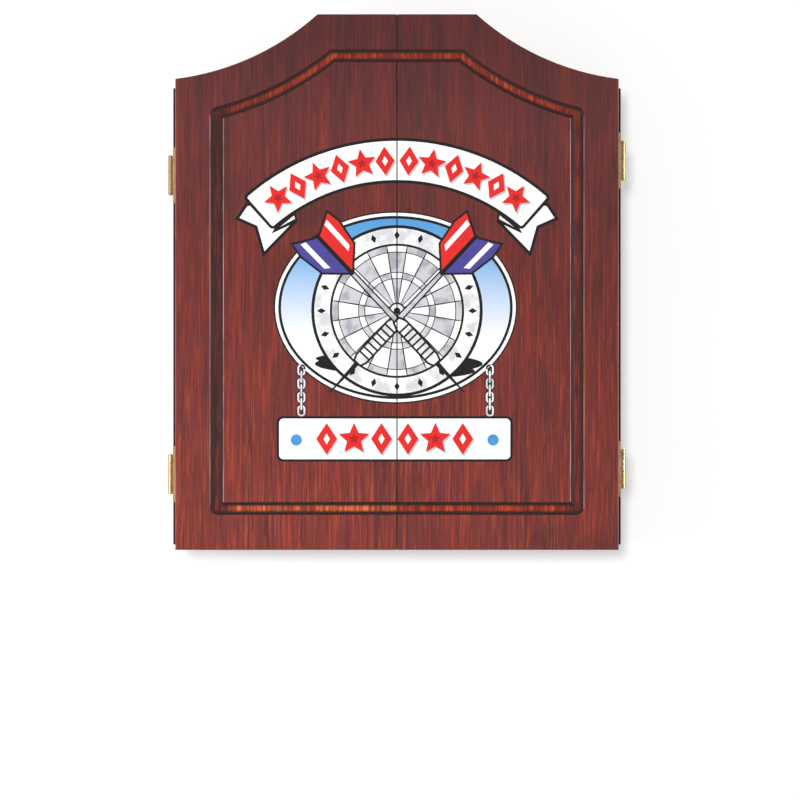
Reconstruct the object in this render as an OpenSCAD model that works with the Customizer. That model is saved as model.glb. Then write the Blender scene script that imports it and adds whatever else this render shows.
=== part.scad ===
// Dart board cabinet: a shallow wall box with two arched doors, a score board inside each door,
// and a bristle dart board that hangs on a bracket in the middle of the box.
// Millimetres. X runs to the viewer's right, Y towards the wall and Z up.
// The origin is the middle of the wall screw pattern, on the wall plane and on the board's centre line.

/* [Cabinet box] */
// Outside width of the box
box_w = 508; // [500:1:520]
// Outside height of the box
box_h = 518; // [505:1:530]
// Depth of the box from the wall to its front edge
box_d = 77.5; // [72:0.5:90]
// Thickness of the box boards
box_t = 16; // [14:0.5:18]
// Thickness of the back panel
back_t = 6; // [5:0.5:8]
// Width of the ledge that the back panel sits in
ledge = 8; // [6:0.5:10]

/* [Doors] */
// Thickness of a door
door_t = 16; // [14:0.5:18]
// Height of a door at the middle of the cabinet
door_h = 606; // [590:1:620]
// Height of a door at its hinged edge
shoulder_h = 533; // [525:1:540]
// Width of one door
door_w = 250.5; // [246:0.5:251]
// Gap between the two doors
seam = 0.8; // [0.6:0.1:2]
// How far the doors hang below the box
door_drop = 5.5; // [3:0.5:10]
// Width of the flat top on one door
crown_w = 89.5; // [80:0.5:100]
// Radius of the scooped shoulder
scoop_r = 295; // [260:1:340]

/* [Routed groove] */
// Distance from the door's edge to the middle of the groove
groove_inset = 47; // [42:0.5:52]
// Width of the groove
groove_w = 14; // [12:0.5:16]
// Depth of the square step at each side of the groove
groove_step = 0.9; // [0.6:0.1:1.5]
// Depth of the hollow below the step
groove_hollow = 1.9; // [1:0.1:3]
// Width of the square step
step_w = 1; // [0.6:0.1:1.5]

/* [Hinges] */
// Height of a hinge
hinge_h = 63.5; // [60:0.5:66]
// Thickness of the hinge plate
leaf_t = 1.4; // [1.2:0.1:1.5]
// Radius of the knuckles
knuckle_r = 2.6; // [2.4:0.1:2.8]
// Radius of the hinge pin
pin_r = 1.2; // [1:0.1:1.4]
// Heights of the left door's hinges
left_hinges = [-179, 160];
// Heights of the right door's hinges
right_hinges = [-173, 177];

/* [Score boards] */
// Width of a score board
score_w = 178; // [170:1:185]
// Height of a score board
score_h = 372; // [360:1:385]
// Thickness of a score board
score_t = 3; // [2.5:0.5:4]
// Height of the score board's middle above the box's middle
score_z = 36; // [25:1:45]
// Distance from the seam to the score board's middle
score_x = 104; // [100:1:108]

/* [Dart board] */
// Diameter of the dart board
board_d = 451; // [445:1:455]
// Thickness of the dart board
board_t = 38; // [34:1:38]
// Thickness of the backing disc behind the bristle
backing_t = 10; // [8:1:12]
// Gap between the dart board and the back panel
board_gap = 6; // [6:0.1:6.5]
// Thickness of the steel band round the dart board
band_t = 1.2; // [1:0.1:1.5]
// Radius of the spider wires
wire_r = 0.7; // [0.6:0.05:0.8]

/* [Wall screws] */
// Distance between the wall screw holes, across and up
wall_pitch = 375; // [370:1:380]
// Radius of a wall screw hole
wall_hole_r = 2.75; // [2.5:0.05:3]

/* [Hidden] */
$fn = 96;
slack = 0.05;                               // running clearance in a bore
touch = 0.02;                               // gap that keeps two faces from sharing a plane
leaf_gap = leaf_t + 0.2;                    // space between a door and the box
box_front = -box_d;
door_back = box_front - leaf_gap;
door_front = door_back - door_t;
door_low = -box_h / 2 - door_drop;
door_in = seam / 2;                         // x of a door's meeting edge
door_out = door_in + door_w;                // x of a door's hinged edge
hinge_x = box_w / 2 + knuckle_r + 0.4;
hinge_y = box_front - leaf_gap / 2;
board_r = board_d / 2;
board_back = -back_t - board_gap;
face_y = board_back - board_t;              // plane that the darts strike

// Shoulder arc: it starts at the end of the flat top and ends at the hinged edge.
crown_end = [door_in + crown_w, door_low + door_h];
shoulder = [door_out, door_low + shoulder_h];
chord = shoulder - crown_end;
half_chord = norm(chord) / 2;
chord_dir = chord / norm(chord);
arc_rise = sqrt(pow(scoop_r, 2) - pow(half_chord, 2));
arc_mid = (crown_end + shoulder) / 2;
arc_c = arc_mid + arc_rise * [-chord_dir[1], chord_dir[0]];

// Middle line of the groove, parallel to the door's outline.
groove_r = scoop_r + groove_inset;
groove_top = door_low + door_h - groove_inset;
groove_low = door_low + groove_inset;
groove_out = door_out - groove_inset;
groove_knee = [arc_c[0] - sqrt(pow(groove_r, 2) - pow(arc_c[1] - groove_top, 2)), groove_top];
groove_hip = [groove_out, arc_c[1] - sqrt(pow(groove_r, 2) - pow(arc_c[0] - groove_out, 2))];
knee_angle = atan2(groove_knee[1] - arc_c[1], groove_knee[0] - arc_c[0]) + 360;
hip_angle = atan2(groove_hip[1] - arc_c[1], groove_hip[0] - arc_c[0]) + 360;

hollow_steps = 5;
corner_steps = 5;
scoop_steps = 26;
hair = 0.04;

// Hinge plates, measured from the pin: u runs in over the box's edge and v runs up.
knuckle_v = 22;                             // half the length of the whole barrel
door_knuckle_v = 11;                        // half the length of the door's knuckle
door_leaf_v = 19;                           // half the height of the door's plate
door_leaf_u = 33;
corner_cut = 2;                             // cut corners of the door's plate
pin_head_h = 0.9;
u_outside = hinge_x - box_w / 2;
u_inside = u_outside + box_t;
wrap_depth = 12;                            // how far the box plate turns back inside the box
lobe_v = (door_leaf_v + 0.6 + hinge_h / 2) / 2;
door_screw_spots = [[25, 10.7], [25, -10.7], [12.5, 0]];
frame_screw_spots = [[u_outside + box_t / 2, lobe_v], [u_outside + box_t / 2, -lobe_v]];

// Countersunk screws that hold the hinges.
screw_r = 1.6;
screw_head_r = 3.1;
recess_w = 0.7;
recess_l = 3;
recess_depth = 0.8;
door_screw_l = 12;
frame_screw_l = 22;

// Round-headed screws of the score boards.
button_r = 3.2;
button_h = 1.6;
button_shank_r = 1.3;
button_l = 12;
button_inset = 11.5;                        // from the score board's end

// Nails and tacks.
nail_r = 0.9;
nail_head_r = 1.5;
nail_l = 40;
nail_spots = [-15, -60];                    // y of the nails in each corner
tack_r = 0.8;
tack_head_r = 2.2;
tack_head_h = 0.8;
tack_l = 14;
tacks_a_side = 4;
tack_margin = 40;

// Dart board playing lines.
bull_r = 6.35;
outer_bull_r = 15.9;
triple_r = [99, 107];
double_r = [162, 170];
bull_ring_t = 0.8;
bull_ring_h = 1.6;
spider_reach = 178;
sectors = 20;
ring_r = 222.3;                             // radius of the number ring
ring_wire_r = 1;
clip_w = 7;
clip_t = 1;
clip_reach = 3;                             // how far a clip reaches in past the ring
clip_leg = 14;
clips = 4;
first_clip = 45;                            // degrees

// Hanging bracket and the parts behind the board.
bracket_w = 60;
bracket_h = 70;
bracket_t = 1.5;
bracket_lift = 3;                           // space behind the bracket's raised middle
foot_strip = 12;                            // width of the bracket's two feet
hang_screw_r = 2.6;
hang_head_r = 6;
hang_head_h = 1.8;
bracket_screw_r = 1.5;
bracket_screw_l = 4.5;
bracket_head_r = 3;
bumper_r = 9;
bumper_h = board_gap - 0.3;
bumper_orbit = 190;
bumpers = 3;

// ---- Helpers ----

// Draws the children for the right-hand side, or mirrored for the left-hand side.
module on_side(side) {
    if (side > 0) children();
    else mirror([1, 0, 0]) children();
}

// Turns a flat shape in X and Z into a plate with its back face at y and its thickness towards the viewer.
module plate(y, thickness) {
    translate([0, y, 0]) rotate([90, 0, 0]) linear_extrude(height = thickness) children();
}

// A round bar along Y from y towards the viewer.
module bar(y, length, r) {
    translate([0, y, 0]) rotate([90, 0, 0]) cylinder(h = length, r = r);
}

// A ring of wire that lies in the X-Z plane with its wire's middle at y.
module wire_ring(y, ring, wire) {
    translate([0, y, 0]) rotate([90, 0, 0]) rotate_extrude(angle = 360)
        translate([ring, 0]) circle(r = wire, $fn = 24);
}

// A hollow band round the Y axis.
module tube(y, length, outer, inner) {
    difference() {
        bar(y, length, outer);
        bar(y + 1, length + 2, inner);
    }
}

// ---- Box ----

module side_board(side, hinges) {
    color("#6b3a24") on_side(side) difference() {
        translate([box_w / 2 - box_t, box_front, -box_h / 2]) cube([box_t, box_d, box_h]);
        translate([box_w / 2 - box_t - 1, -back_t, -box_h / 2 + ledge])
            cube([ledge + 1, back_t + 1, box_h - 2 * ledge]);
        for (z = hinges, spot = frame_screw_spots)
            translate([hinge_x - spot[0], 0, z + spot[1]])
                bar(box_front + frame_screw_l, frame_screw_l + 1, screw_r + touch);
        for (z = [-1, 1], y = nail_spots)
            translate([0, y, z * (box_h - box_t) / 2]) nail_hole();
        tacks(touch);
    }
}

module end_board(end) {
    color("#6b3a24") difference() {
        translate([-box_w / 2 + box_t + touch, box_front, end > 0 ? box_h / 2 - box_t : -box_h / 2])
            cube([box_w - 2 * box_t - 2 * touch, box_d, box_t]);
        translate([-box_w / 2, -back_t, end > 0 ? box_h / 2 - box_t - 1 : -box_h / 2 + box_t - ledge])
            cube([box_w, back_t + 1, ledge + 1]);
        for (side = [-1, 1], y = nail_spots)
            on_side(side) translate([0, y, end * (box_h - box_t) / 2]) nail_hole();
        tacks(touch);
    }
}

module back_panel() {
    edge = box_t - ledge + touch;
    color("#5a2f22") difference() {
        translate([-box_w / 2 + edge, -back_t + touch, -box_h / 2 + edge])
            cube([box_w - 2 * edge, back_t - touch, box_h - 2 * edge]);
        for (x = [-1, 1], z = [-1, 1])
            translate([x * wall_pitch / 2, 0, z * wall_pitch / 2]) bar(1, back_t + 2, wall_hole_r);
        tacks(touch);
        for (spot = bracket_spots()) translate([spot[0], 0, spot[1]])
            bar(-back_t + bracket_screw_l - bracket_t, bracket_screw_l, bracket_screw_r + touch);
    }
}

// Space for one corner nail at the right-hand end.
module nail_hole() {
    translate([box_w / 2 - nail_l, 0, 0]) rotate([0, 90, 0]) cylinder(h = nail_l + 1, r = nail_r + touch);
    translate([box_w / 2 - 1, 0, 0]) rotate([0, 90, 0]) cylinder(h = 2, r = nail_head_r + touch);
}

module corner_nail() {
    translate([box_w / 2 - nail_l + 1, 0, 0]) rotate([0, 90, 0]) cylinder(h = nail_l - 1.2, r = nail_r);
    translate([box_w / 2 - 0.98, 0, 0]) rotate([0, 90, 0]) cylinder(h = 0.9, r = nail_head_r);
}

module corner_nails() {
    color("#4a3a30") for (side = [-1, 1], z = [-1, 1], y = nail_spots)
        on_side(side) translate([0, y, z * (box_h - box_t) / 2]) corner_nail();
}

// A row of places from -reach to reach, with an end margin.
function row(reach) = [
    for (i = [0 : tacks_a_side - 1]) (reach - tack_margin) * (2 * i / (tacks_a_side - 1) - 1)
];

// Tacks driven from behind, through the back panel's edges into the ledge. A positive extra
// makes the space for them.
module tacks(extra) {
    across = box_w / 2 - box_t + ledge / 2;
    up = box_h / 2 - box_t + ledge / 2;
    for (side = [-1, 1], z = row(up)) translate([side * across, 0, z]) tack(extra);
    for (end = [-1, 1], x = row(across)) translate([x, 0, end * up]) tack(extra);
}

module tack(extra) {
    bar(extra, tack_head_h + 2 * extra, tack_head_r + extra);
    bar(-tack_head_h + extra, tack_l - tack_head_h + 2 * extra, tack_r + extra);
}

module back_tacks() {
    color("#3c342e") tacks(0);
}

// ---- Doors ----

// A door's outline: a rectangle with the shoulder scooped out of its top corner.
module door_outline() {
    difference() {
        translate([door_in, door_low]) square([door_w, door_h]);
        translate(arc_c) circle(r = scoop_r, $fn = 200);
    }
}

// The groove's section, from its inner edge to its outer edge: how far each point lies from the
// cutter's path, and how high it lies from the door's face. A square step leads to a round hollow.
function groove_section() = let (
    hollow_half = groove_w / 2 - step_w,
    round_r = (pow(hollow_half, 2) + pow(groove_hollow, 2)) / (2 * groove_hollow),
    half_turn = asin(hollow_half / round_r),
    round_mid = round_r - groove_step - groove_hollow
) concat(
    [[-groove_w / 2, 1], [-groove_w / 2, -groove_step]],
    [for (i = [-hollow_steps : hollow_steps]) let (a = half_turn * i / hollow_steps)
        [round_r * sin(a), round_mid - round_r * cos(a)]],
    [[groove_w / 2, -groove_step], [groove_w / 2, 1]]
);

// A place on the cutter's path: its point, and the directions of the section's outer and inner halves.
function straight_on(p, a) = [[p, [cos(a), sin(a)], [cos(a), sin(a)]]];

// Places round a corner, as the outer direction turns from one angle to the other. The inner half
// stays on the mitre line, moving along by a hair so that no two places coincide.
function round_corner(p, from, to) = let (
    n1 = [cos(from), sin(from)],
    n2 = [cos(to), sin(to)],
    mitre = (n1 + n2) / (1 + n1 * n2),
    onward = [mitre[1], -mitre[0]] / norm(mitre)
) [
    for (i = [0 : corner_steps]) let (a = from + (to - from) * i / corner_steps)
        [p + hair * (i - corner_steps / 2) * onward, [cos(a), sin(a)], mitre]
];

// The whole path: along the crown, round the scoop, down the hinged side and back along the bottom.
function groove_path() = let (scoop_step = (hip_angle - knee_angle) / scoop_steps) concat(
    straight_on([-1, groove_top], 90),
    round_corner(groove_knee, 90, knee_angle - 180),
    [for (i = [1 : scoop_steps - 1]) let (a = knee_angle + i * scoop_step)
        straight_on(arc_c + groove_r * [cos(a), sin(a)], a - 180)[0]],
    round_corner(groove_hip, hip_angle - 180, 0),
    round_corner([groove_out, groove_low], 0, -90),
    straight_on([-1, groove_low], -90)
);

// The space that the cutter takes out, with a ring of points at each place on its path.
module groove() {
    section = groove_section();
    path = groove_path();
    n = len(section);
    last = n * (len(path) - 1);
    points = [
        for (place = path, s = section) let (across = s[0] * (s[0] > 0 ? place[1] : place[2]))
            [place[0][0] + across[0], door_front - s[1], place[0][1] + across[1]]
    ];
    sides = [
        for (k = [0 : n : last - n], i = [0 : n - 1]) let (j = (i + 1) % n)
            each [[k + i, k + n + j, k + j], [k + i, k + n + i, k + n + j]]
    ];
    ends = [[for (i = [0 : n - 1]) i], [for (i = [n - 1 : -1 : 0]) last + i]];
    polyhedron(points, concat(sides, ends));
}

module door(side, hinges) {
    color("#7a2f28") on_side(side) difference() {
        plate(door_back, door_t) door_outline();
        groove();
        for (z = hinges, spot = door_screw_spots)
            translate([hinge_x - spot[0], 0, z + spot[1]])
                bar(door_back + 1, door_screw_l + 1, screw_r + touch);
        for (z = score_screw_heights())
            translate([score_x, 0, z]) bar(door_back + 1, button_l + 1, button_shank_r + touch);
    }
}

// ---- Score boards ----

function score_screw_heights() = [
    for (end = [-1, 1]) score_z + end * (score_h / 2 - button_inset)
];

module score_board(side) {
    color("#2f5b50") on_side(side) difference() {
        plate(door_back + score_t, score_t - touch) translate([score_x - score_w / 2, score_z - score_h / 2])
            square([score_w, score_h]);
        for (z = score_screw_heights())
            translate([score_x, 0, z]) bar(door_back + score_t + 1, score_t + 2, button_shank_r + slack);
    }
}

// A round cap of radius r and height h that stands on z = 0.
module cap(r, h) {
    round_r = (pow(r, 2) + pow(h, 2)) / (2 * h);
    intersection() {
        translate([0, 0, h - round_r]) sphere(r = round_r);
        cylinder(h = h + 1, r = r);
    }
}

// The cross in a screw's head, cut down from z = top.
module cross_recess(top) {
    for (a = [0, 90])
        rotate([0, 0, a]) translate([-recess_w / 2, -recess_l / 2, top - recess_depth])
            cube([recess_w, recess_l, recess_depth + 1]);
}

// A round-headed screw with its thread in the door.
module button_screw() {
    translate([0, door_back + score_t + touch, 0]) rotate([-90, 0, 0]) difference() {
        union() {
            cap(button_r, button_h);
            translate([0, 0, -button_l]) cylinder(h = button_l + 0.1, r = button_shank_r);
        }
        cross_recess(button_h);
    }
}

module score_board_screws(side) {
    color("#b89a4a") on_side(side) for (z = score_screw_heights())
        translate([score_x, 0, z]) button_screw();
}

// ---- Hinges ----

// A countersunk screw along Y. Its head is flush with y = 0 and its point is towards dir.
module flat_screw(dir, length) {
    rotate([dir * 90, 0, 0]) difference() {
        union() {
            translate([0, 0, -leaf_t]) cylinder(h = leaf_t, r1 = screw_r, r2 = screw_head_r - slack);
            translate([0, 0, -length]) cylinder(h = length - leaf_t + 0.1, r = screw_r);
        }
        cross_recess(0);
    }
}

// The countersunk hole for such a screw.
module screw_sink(dir) {
    rotate([dir * 90, 0, 0]) {
        translate([0, 0, -leaf_t]) cylinder(h = leaf_t, r1 = screw_r + slack, r2 = screw_head_r);
        translate([0, 0, -leaf_t - 1]) cylinder(h = leaf_t + 2, r = screw_r + slack);
    }
}

// Flat shape of the upper arm of the box plate, in u and v. Its edge stands clear of the pin's head.
function arm_points() = [
    [-1.2, door_knuckle_v + 0.3], [3.2, door_knuckle_v + 0.3], [6.2, door_leaf_v + 0.6],
    [u_inside + leaf_t, door_leaf_v + 0.6], [u_inside + leaf_t, hinge_h / 2], [u_outside - 0.3, hinge_h / 2],
    [u_outside - 0.3, knuckle_v - 0.1], [-1.2, knuckle_v - 0.1]
];

// Upper half of the door plate's flat shape, in u and v.
function door_leaf_half() = [
    [0, door_knuckle_v - 0.1], [3.2, door_knuckle_v - 0.1], [6.2, door_leaf_v],
    [door_leaf_u - corner_cut, door_leaf_v], [door_leaf_u, door_leaf_v - corner_cut]
];

// The plate on the box's edge: two arms, a strip that turns back inside the box, and the two end knuckles.
module box_leaf(side, z) {
    color("#c2a050") on_side(side) translate([hinge_x, 0, z]) difference() {
        union() {
            for (v = [-1, 1])
                plate(box_front - touch, leaf_t) polygon([for (p = arm_points()) [-p[0], v * p[1]]]);
            translate([-u_inside - leaf_t, box_front - touch, -hinge_h / 2])
                cube([leaf_t - touch, wrap_depth, hinge_h]);
            for (v = [door_knuckle_v + 0.1, -knuckle_v])
                translate([0, hinge_y, v]) cylinder(h = knuckle_v - door_knuckle_v - 0.1, r = knuckle_r);
        }
        translate([0, hinge_y, -hinge_h]) cylinder(h = 2 * hinge_h, r = pin_r + slack);
        for (spot = frame_screw_spots)
            translate([-spot[0], box_front - touch - leaf_t, spot[1]]) screw_sink(1);
    }
}

// The plate on the door's back, with the middle knuckle.
module door_leaf(side, z) {
    half = door_leaf_half();
    outline = concat(half, [for (i = [len(half) - 1 : -1 : 0]) [half[i][0], -half[i][1]]]);
    color("#c2a050") on_side(side) translate([hinge_x, 0, z]) difference() {
        union() {
            plate(door_back + leaf_t + touch, leaf_t) polygon([for (p = outline) [-p[0], p[1]]]);
            translate([0, hinge_y, -door_knuckle_v + 0.1])
                cylinder(h = 2 * door_knuckle_v - 0.2, r = knuckle_r);
        }
        translate([0, hinge_y, -hinge_h]) cylinder(h = 2 * hinge_h, r = pin_r + slack);
        for (spot = door_screw_spots)
            translate([-spot[0], door_back + leaf_t + touch, spot[1]]) screw_sink(-1);
    }
}

// The pin, with a domed head at each end.
module hinge_pin(side, z) {
    color("#d4b870") on_side(side) translate([hinge_x, hinge_y, z]) {
        translate([0, 0, -knuckle_v - 0.1]) cylinder(h = 2 * knuckle_v + 0.2, r = pin_r);
        for (end = [0, 180])
            rotate([end, 0, 0]) translate([0, 0, knuckle_v + touch]) cap(knuckle_r - 0.2, pin_head_h);
    }
}

module box_hinge_screws() {
    color("#b89a4a") for (set = [[-1, left_hinges], [1, right_hinges]], z = set[1], spot = frame_screw_spots)
        on_side(set[0]) translate([hinge_x - spot[0], box_front - touch - leaf_t, z + spot[1]])
            flat_screw(1, frame_screw_l);
}

module door_hinge_screws(side, hinges) {
    color("#b89a4a") on_side(side) for (z = hinges, spot = door_screw_spots)
        translate([hinge_x - spot[0], door_back + leaf_t + touch, z + spot[1]])
            flat_screw(-1, door_screw_l);
}

// ---- Hanging bracket ----

// X and Z of the bracket's screws.
function bracket_spots() = [
    for (spot = [[-1, 1], [1, 1], [-1, -1], [1, -1]])
        [spot[0] * (bracket_w - foot_strip) / 2, spot[1] * bracket_h / 3]
];

// A plate raised off the back panel on two feet, with a slot that is open at the top.
module hanging_bracket() {
    back = -back_t - touch;
    raised = back - bracket_lift;
    slot_r = hang_screw_r + slack;
    inner = bracket_w / 2 - foot_strip;
    color("#9aa0a4") difference() {
        union() {
            plate(raised, bracket_t) translate([-inner, -bracket_h / 2]) square([2 * inner, bracket_h]);
            for (side = [-1, 1]) on_side(side) {
                plate(back, bracket_t) translate([inner, -bracket_h / 2]) square([foot_strip, bracket_h]);
                plate(back, bracket_lift + bracket_t) translate([inner - bracket_t, -bracket_h / 2])
                    square([bracket_t, bracket_h]);
            }
        }
        bar(0, 20, slot_r);
        translate([-slot_r, -20, 0]) cube([2 * slot_r, 20, bracket_h]);
        for (spot = bracket_spots()) translate([spot[0], 0, spot[1]]) bar(0, 20, bracket_screw_r + slack);
    }
}

module bracket_screws() {
    front = -back_t - touch - bracket_t;
    color("#8a8f92") for (spot = bracket_spots()) translate([spot[0], 0, spot[1]]) {
        bar(front + bracket_screw_l, bracket_screw_l + 0.1, bracket_screw_r);
        bar(front - touch, 1, bracket_head_r);
    }
}

// ---- Dart board ----

module board_backing() {
    color("#8a6a48") difference() {
        bar(board_back, backing_t, board_r - band_t - touch);
        bar(board_back + 1, backing_t + 1, hang_screw_r + touch);
        for (spot = bumper_spots()) translate([spot[0], 0, spot[1]]) bar(board_back + 1, 4, 1.5 + touch);
    }
}

module bristle_disc() {
    color("#1c1b19") difference() {
        bar(board_back - backing_t - touch, board_t - backing_t, board_r - band_t - touch);
        bar(board_back, backing_t + 9, hang_screw_r + touch);
    }
}

module board_band() {
    color("#202022") tube(board_back, board_t, board_r, board_r - band_t);
}

module radial_wires() {
    start = outer_bull_r + 1;
    color("#b9bcc0") for (i = [0 : sectors - 1])
        rotate([0, (i + 0.5) * 360 / sectors, 0]) translate([start, face_y - wire_r - 2 * touch, 0])
            rotate([0, 90, 0]) cylinder(h = spider_reach - start, r = wire_r, $fn = 24);
}

// Two wire rings that lie on the radial wires.
module ring_pair(radii) {
    color("#b9bcc0") for (r = radii) wire_ring(face_y - 3 * wire_r - 4 * touch, r, wire_r);
}

module bull_rings() {
    color("#b9bcc0") for (r = [bull_r, outer_bull_r])
        tube(face_y - 2 * touch, bull_ring_h, r + bull_ring_t / 2, r - bull_ring_t / 2);
}

module number_ring() {
    color("#c6c8ca") wire_ring(face_y - ring_wire_r - 0.15, ring_r, ring_wire_r);
}

// Bent clips on the board's rim. The number ring turns under them.
module number_ring_clips() {
    front = face_y - 2 * ring_wire_r - 0.2 - clip_t;
    inner = ring_r - clip_reach;
    color("#c6c8ca") for (i = [0 : clips - 1]) rotate([0, first_clip + i * 360 / clips, 0]) {
        translate([inner, front, -clip_w / 2]) cube([board_r + clip_t - inner + touch, clip_t, clip_w]);
        translate([board_r + touch, front, -clip_w / 2]) cube([clip_t, clip_leg, clip_w]);
    }
}

// The screw in the middle of the board's back that drops into the bracket's slot.
module hanging_screw() {
    head = -back_t - bracket_lift + 0.2;
    color("#8a8f92") {
        bar(head, head - board_back + backing_t + 8, hang_screw_r);
        bar(head + hang_head_h, hang_head_h + 0.1, hang_head_r);
    }
}

function bumper_spots() = [
    for (i = [0 : bumpers - 1]) let (a = 90 + i * 360 / bumpers) bumper_orbit * [cos(a), sin(a)]
];

module rubber_bumpers() {
    color("#2a2a2a") for (spot = bumper_spots()) translate([spot[0], 0, spot[1]]) {
        bar(board_back + bumper_h, bumper_h - touch, bumper_r);
        bar(board_back + 0.1, 2.9, 1.5);
    }
}

// ---- Nodes ----

side_board(-1, left_hinges);  // left_side
side_board(1, right_hinges);  // right_side
end_board(1);  // top_board
end_board(-1);  // bottom_board
back_panel();
corner_nails();
back_tacks();
box_leaf(-1, left_hinges[1]);  // left_upper_box_leaf
box_leaf(-1, left_hinges[0]);  // left_lower_box_leaf
box_leaf(1, right_hinges[1]);  // right_upper_box_leaf
box_leaf(1, right_hinges[0]);  // right_lower_box_leaf
hinge_pin(-1, left_hinges[1]);  // left_upper_hinge_pin
hinge_pin(-1, left_hinges[0]);  // left_lower_hinge_pin
hinge_pin(1, right_hinges[1]);  // right_upper_hinge_pin
hinge_pin(1, right_hinges[0]);  // right_lower_hinge_pin
box_hinge_screws();
hanging_bracket();
bracket_screws();
door(-1, left_hinges);  // left_door
door_leaf(-1, left_hinges[1]);  // left_upper_door_leaf
door_leaf(-1, left_hinges[0]);  // left_lower_door_leaf
door_hinge_screws(-1, left_hinges);  // left_door_hinge_screws
score_board(-1);  // left_score_board
score_board_screws(-1);  // left_score_board_screws
door(1, right_hinges);  // right_door
door_leaf(1, right_hinges[1]);  // right_upper_door_leaf
door_leaf(1, right_hinges[0]);  // right_lower_door_leaf
door_hinge_screws(1, right_hinges);  // right_door_hinge_screws
score_board(1);  // right_score_board
score_board_screws(1);  // right_score_board_screws
board_backing();
bristle_disc();
board_band();
radial_wires();
ring_pair(double_r);  // double_ring_wires
ring_pair(triple_r);  // triple_ring_wires
bull_rings();
hanging_screw();
rubber_bumpers();
number_ring();
number_ring_clips();
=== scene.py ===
"""The looks of a dart board cabinet: wood, brass, printed emblem, score boards and dart board.

Everything is in metres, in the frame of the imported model: X to the viewer's right, Y towards the
wall and Z up. The doors are closed at rest. Printed shapes are drawn flat in millimetres.
"""
import math

import bmesh
import bpy
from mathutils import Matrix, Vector
from mathutils.geometry import tessellate_polygon


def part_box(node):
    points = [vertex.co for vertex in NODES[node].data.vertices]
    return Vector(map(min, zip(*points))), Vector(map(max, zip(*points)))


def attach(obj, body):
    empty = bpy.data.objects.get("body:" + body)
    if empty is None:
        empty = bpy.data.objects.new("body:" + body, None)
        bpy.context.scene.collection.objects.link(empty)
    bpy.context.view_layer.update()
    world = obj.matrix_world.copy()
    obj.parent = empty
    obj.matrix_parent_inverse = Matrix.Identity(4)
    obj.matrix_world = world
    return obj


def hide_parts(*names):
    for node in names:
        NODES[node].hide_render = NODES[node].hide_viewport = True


MM = 0.001

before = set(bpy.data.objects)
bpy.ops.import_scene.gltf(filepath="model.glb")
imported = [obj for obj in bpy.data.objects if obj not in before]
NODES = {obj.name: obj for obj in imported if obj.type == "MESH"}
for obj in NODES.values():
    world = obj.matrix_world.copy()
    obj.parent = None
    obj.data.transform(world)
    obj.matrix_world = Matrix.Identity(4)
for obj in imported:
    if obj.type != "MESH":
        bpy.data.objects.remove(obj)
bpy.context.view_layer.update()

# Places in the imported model
door_low, door_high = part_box("left_door")
DOOR_FRONT = door_low.y
DOOR_BACK = door_high.y
DOOR_OUT = -door_low.x
DOOR_BOTTOM = door_low.z
DOOR_TOP = door_high.z
SEAM = -door_high.x
SCORE_LOW, SCORE_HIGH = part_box("left_score_board")
RING_Y = sum(corner.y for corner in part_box("number_ring")) / 2

# The doors' groove, and the pale lines beside it, worn bare and painted as highlights
GROOVE_INSET = 47 * MM
GROOVE_W = 14 * MM
GROOVE_X = DOOR_OUT - GROOVE_INSET
GROOVE_LOW = DOOR_BOTTOM + GROOVE_INSET
GROOVE_HIGH = 227.5 * MM
GROOVE_TURN_FROM = 178 * MM
GROOVE_TURN_TO = 198.5 * MM
# Depths where the groove's painted shade ends and its painted sheen begins
GROOVE_DARK_TO = 1.85 * MM
GROOVE_BRIGHT_FROM = 2.85 * MM
WORN_HIGHLIGHT_W = 0.9 * MM

# The boards' edges
BOARD_ROUND = 0.6 * MM
SCORE_ROUND = 0.4 * MM
SHORTEST_ROUNDED = 4 * MM
# How far the box sides' lips turn dark: stain round the arris, and painted shade from the doors
STAIN_AND_SHADE_RUN = 2 * MM

# The dark strip in the seam, a piece put there as painted shade
STRIP_SET_BACK = 2 * MM
STRIP_CLEARANCE = 0.02 * MM
STRIP_ROUND = 0.25 * MM

# The printed emblem: its layers in metres, and its shapes in millimetres
PRINT_SHORT = 0.25 * MM
EMBLEM_LAYER = 0.02 * MM
OUTLINE = 3.4
RIBBON_CENTRE = (0.0, -59.8)
RIBBON_OUTER = 261.4
RIBBON_INNER = 210.4
RIBBON_HALF_ANGLE = 42.0
RIBBON_CORNER = 5.5
ORNAMENT_ORBIT = 235.6
TAIL = [(-183.3, 109.7), (-160.9, 99.7), (-151.5, 66.9), (-112.5, 107.0), (-114.3, 116.7), (-136.0, 132.0),
        (-171.2, 127.6)]
TAIL_FOLD = [(-141.8, 93.4), (-112.5, 107.0), (-114.3, 116.7), (-136.0, 104.0)]
TAIL_LIGHT = [(-132.4, 100.9), (-115.4, 110.0), (-116.4, 113.8)]
OVAL_CENTRE = (-1.7, 9.8)
OVAL_ACROSS = 137.8
OVAL_UP = 108.8
OVAL_RINGS = [(0.0, "black"), (1.7, "white"), (5.2, "black"), (8.3, "sky")]
SKY_WHITE_FROM = -30 * MM
GROUND_SHADOW = [((2.0, -54.0), 95.0, 12.0), ((-26.0, -48.0), 66.0, 7.0), ((34.0, -62.0), 54.0, 8.0)]
ROUNDEL_CENTRE = (0.0, 6.0)
ROUNDEL_R = 97.0
ROUNDEL_LINE = 1.5
ROUNDEL_BANDS = [(9.5, 36.0, False), (37.0, 43.0, True), (44.0, 66.0, False), (67.0, 73.5, True)]
DART_TIP = (-76.0, -86.0)
DART_TAIL = (99.0, 100.0)
PLATE_CENTRE = (-2.6, -138.9)
PLATE_W = 266.8
PLATE_H = 51.3
CHAIN_X = (-108.2, 105.0)
CHAIN_TOP = -61.0
LINK_PITCH = 15.4
LINK_W = 9.0
LINK_H = 12.4
LINK_WIRE = 2.0
CHAIN_OUTLINE = 1.1

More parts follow.
